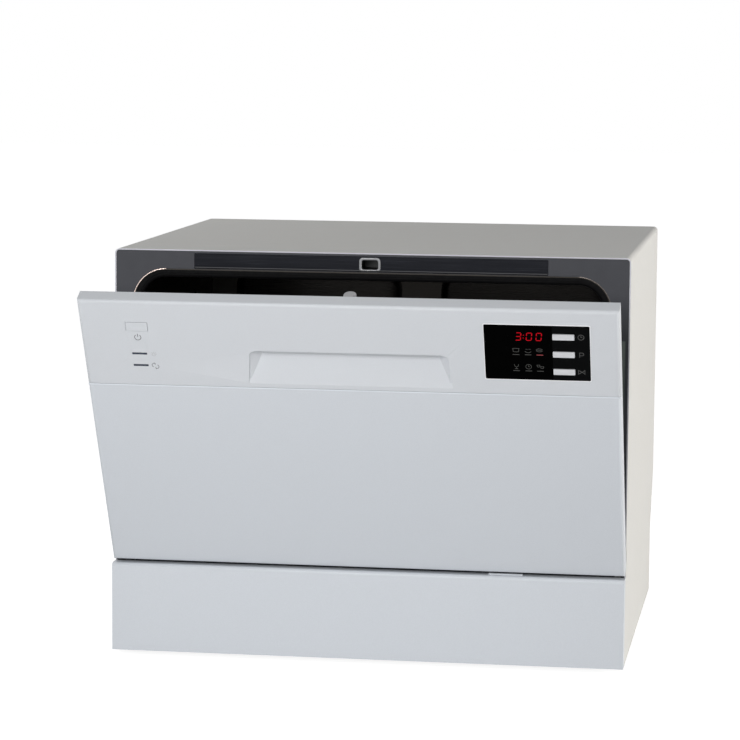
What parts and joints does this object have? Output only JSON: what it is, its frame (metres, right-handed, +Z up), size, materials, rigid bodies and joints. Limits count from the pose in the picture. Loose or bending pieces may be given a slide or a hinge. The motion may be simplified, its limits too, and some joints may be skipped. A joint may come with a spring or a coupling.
{
  "type": "countertop dishwasher",
  "caption": "Compact countertop dishwasher with a drop-down door, sliding dish rack with cutlery basket and cup shelf, spray arm, filter, dispenser, keys and levelling feet.",
  "frame": {"origin": "on the worktop, under the middle of the overall box with the door ajar", "axes": "+Z up, -Y towards the user (the door side), +X to the right seen from the front"},
  "size_m": [0.55, 0.648, 0.438],
  "materials": {
    "wrapper_paint": "satin",
    "door_paint": "satin",
    "panel_paint": "satin",
    "frame_dark": "satin",
    "tub_steel": "brushed",
    "trim_steel": "polished",
    "strip_steel": "satin",
    "zinc_steel": "galvanised",
    "screw_steel": "satin",
    "heater_steel": "satin",
    "window_black": "gloss",
    "bezel_silver": "gloss",
    "key_white": "satin",
    "lamp_blue": "gloss",
    "board_green": "satin",
    "felt": "felt",
    "moulded_grey": "satin",
    "moulded_black": "satin",
    "seal_rubber": "matte",
    "rinse_blue": "satin",
    "wire_coat": "nylon coat",
    "rack_plastic": "satin"
  },
  "bodies": {
    "cabinet": {"outer_wrapper": "wrapper_paint", "rear_panel": "zinc_steel", "base_tray": "moulded_black", "kick_plate": "door_paint", "front_frame": "frame_dark", "frame_side_strips": "strip_steel", "latch_strip": "trim_steel", "lock_bezel": "bezel_silver", "lock_housing": "moulded_black", "tub": "tub_steel", "tub_seal": "seal_rubber", "sump": "moulded_grey", "filter_plate": "tub_steel", "spray_post": "moulded_grey", "heater": "heater_steel", "circulation_pump": "moulded_black", "drain_pump": "moulded_black", "drain_pipe": "moulded_black", "inlet_valve": "moulded_grey", "mains_gland": "moulded_black", "softener": "moulded_grey", "hinge_brackets": "zinc_steel", "cabinet_screws": "screw_steel"},
    "door": {"door_panel": "door_paint", "control_panel": "panel_paint", "display_bezel": "bezel_silver", "display_window": "window_black", "control_boards": "board_green", "indicator_lights": "lamp_blue", "door_liner": "tub_steel", "door_insulation": "felt", "dispenser_body": "moulded_grey", "door_hook": "bezel_silver", "hinge_plates": "zinc_steel", "door_screws": "screw_steel"},
    "rack": {"rack_rims": "wire_coat", "rack_long_wires": "wire_coat", "rack_cross_wires": "wire_coat", "plate_tines": "wire_coat", "rack_clips": "rack_plastic"},
    "lock_claw": {"lock_claw": "zinc_steel"},
    "filter_cylinder": {"filter_cylinder": "moulded_grey"},
    "salt_cap": {"salt_cap": "moulded_grey"},
    "spray_arm": {"spray_arm": "moulded_grey"},
    "foot_front_left": {"foot_front_left": "seal_rubber"},
    "foot_front_right": {"foot_front_right": "seal_rubber"},
    "foot_rear_left": {"foot_rear_left": "seal_rubber"},
    "foot_rear_right": {"foot_rear_right": "seal_rubber"},
    "power_button": {"power_button": "panel_paint"},
    "start_button": {"start_button": "key_white"},
    "program_button": {"program_button": "key_white"},
    "delay_button": {"delay_button": "key_white"},
    "dispenser_lid": {"dispenser_lid": "moulded_grey"},
    "rinse_cap": {"rinse_cap": "rinse_blue"},
    "cup_shelf": {"cup_shelf": "rack_plastic"},
    "cutlery_basket": {"cutlery_basket": "rack_plastic"},
    "wheel_front_left": {"wheel_front_left": "rack_plastic"},
    "wheel_front_right": {"wheel_front_right": "rack_plastic"},
    "wheel_rear_left": {"wheel_rear_left": "rack_plastic"},
    "wheel_rear_right": {"wheel_rear_right": "rack_plastic"}
  },
  "joints": [
    {"name": "door_hinge", "type": "hinge", "parent": "cabinet", "child": "door", "pos_m": [0, -0.16997, 0.1185], "axis": [1, 0, 0], "range_deg": [-28, 62]},
    {"name": "rack_slide", "type": "slide", "parent": "cabinet", "child": "rack", "axis": [0, -1, 0], "range_m": [-0.0358, 0.07924]},
    {"name": "wheel_front_left_spin", "type": "hinge", "parent": "rack", "child": "wheel_front_left", "pos_m": [-0.2245, -0.06375, 0.15355], "axis": [1, 0, 0], "continuous": true},
    {"name": "wheel_rear_left_spin", "type": "hinge", "parent": "rack", "child": "wheel_rear_left", "pos_m": [-0.2245, 0.14905, 0.15355], "axis": [1, 0, 0], "continuous": true},
    {"name": "wheel_front_right_spin", "type": "hinge", "parent": "rack", "child": "wheel_front_right", "pos_m": [0.2245, -0.06375, 0.15355], "axis": [1, 0, 0], "continuous": true},
    {"name": "wheel_rear_right_spin", "type": "hinge", "parent": "rack", "child": "wheel_rear_right", "pos_m": [0.2245, 0.14905, 0.15355], "axis": [1, 0, 0], "continuous": true},
    {"name": "cup_shelf_fold", "type": "hinge", "parent": "rack", "child": "cup_shelf", "pos_m": [-0.22545, 0.01125, 0.2695], "axis": [0, 1, 0], "range_deg": [0, 90]},
    {"name": "cutlery_lift", "type": "slide", "parent": "rack", "child": "cutlery_basket", "axis": [0, 0, 1], "range_m": [0, 0.09]},
    {"name": "spray_arm_spin", "type": "hinge", "parent": "cabinet", "child": "spray_arm", "pos_m": [0, 0.05353, 0.1555], "axis": [0, 0, 1], "continuous": true},
    {"name": "filter_turn", "type": "hinge", "parent": "cabinet", "child": "filter_cylinder", "pos_m": [0.07, 0.11553, 0.1205], "axis": [0, 0, 1], "range_deg": [0, 90]},
    {"name": "salt_cap_turn", "type": "hinge", "parent": "cabinet", "child": "salt_cap", "pos_m": [-0.175, 0.13553, 0.1405], "axis": [0, 0, 1], "range_deg": [0, 360]},
    {"name": "lock_claw_turn", "type": "hinge", "parent": "cabinet", "child": "lock_claw", "pos_m": [0.014, -0.12397, 0.4255], "axis": [0, 0, 1], "range_deg": [-9, 0], "stiffness_Nm_per_rad": 0.05},
    {"name": "foot_front_left_turn", "type": "hinge", "parent": "cabinet", "child": "foot_front_left", "pos_m": [-0.24, -0.12797, 0.01], "axis": [0, 0, 1], "range_deg": [0, 720]},
    {"name": "foot_front_right_turn", "type": "hinge", "parent": "cabinet", "child": "foot_front_right", "pos_m": [0.24, -0.12797, 0.01], "axis": [0, 0, 1], "range_deg": [0, 720]},
    {"name": "foot_rear_left_turn", "type": "hinge", "parent": "cabinet", "child": "foot_rear_left", "pos_m": [-0.24, 0.24703, 0.01], "axis": [0, 0, 1], "range_deg": [0, 720]},
    {"name": "foot_rear_right_turn", "type": "hinge", "parent": "cabinet", "child": "foot_rear_right", "pos_m": [0.24, 0.24703, 0.01], "axis": [0, 0, 1], "range_deg": [0, 720]},
    {"name": "power_press", "type": "slide", "parent": "door", "child": "power_button", "axis": [0, 0.8829, 0.4695], "range_m": [0, 0.0008], "stiffness_N_per_m": 400},
    {"name": "start_press", "type": "slide", "parent": "door", "child": "start_button", "axis": [0, 0.8829, 0.4695], "range_m": [0, 0.0008], "stiffness_N_per_m": 400},
    {"name": "program_press", "type": "slide", "parent": "door", "child": "program_button", "axis": [0, 0.8829, 0.4695], "range_m": [0, 0.0008], "stiffness_N_per_m": 400},
    {"name": "delay_press", "type": "slide", "parent": "door", "child": "delay_button", "axis": [0, 0.8829, 0.4695], "range_m": [0, 0.0008], "stiffness_N_per_m": 400},
    {"name": "dispenser_lid_slide", "type": "slide", "parent": "door", "child": "dispenser_lid", "axis": [1, 0, 0], "range_m": [0, 0.052]},
    {"name": "rinse_cap_turn", "type": "hinge", "parent": "door", "child": "rinse_cap", "pos_m": [0.043, -0.21742, 0.25353], "axis": [0, 0.8829, 0.4695], "range_deg": [0, 90]}
  ],
  "couplings": [
    {"joint": "rack_slide", "follows": "door_hinge", "m_per_rad": 0.073211}
  ]
}
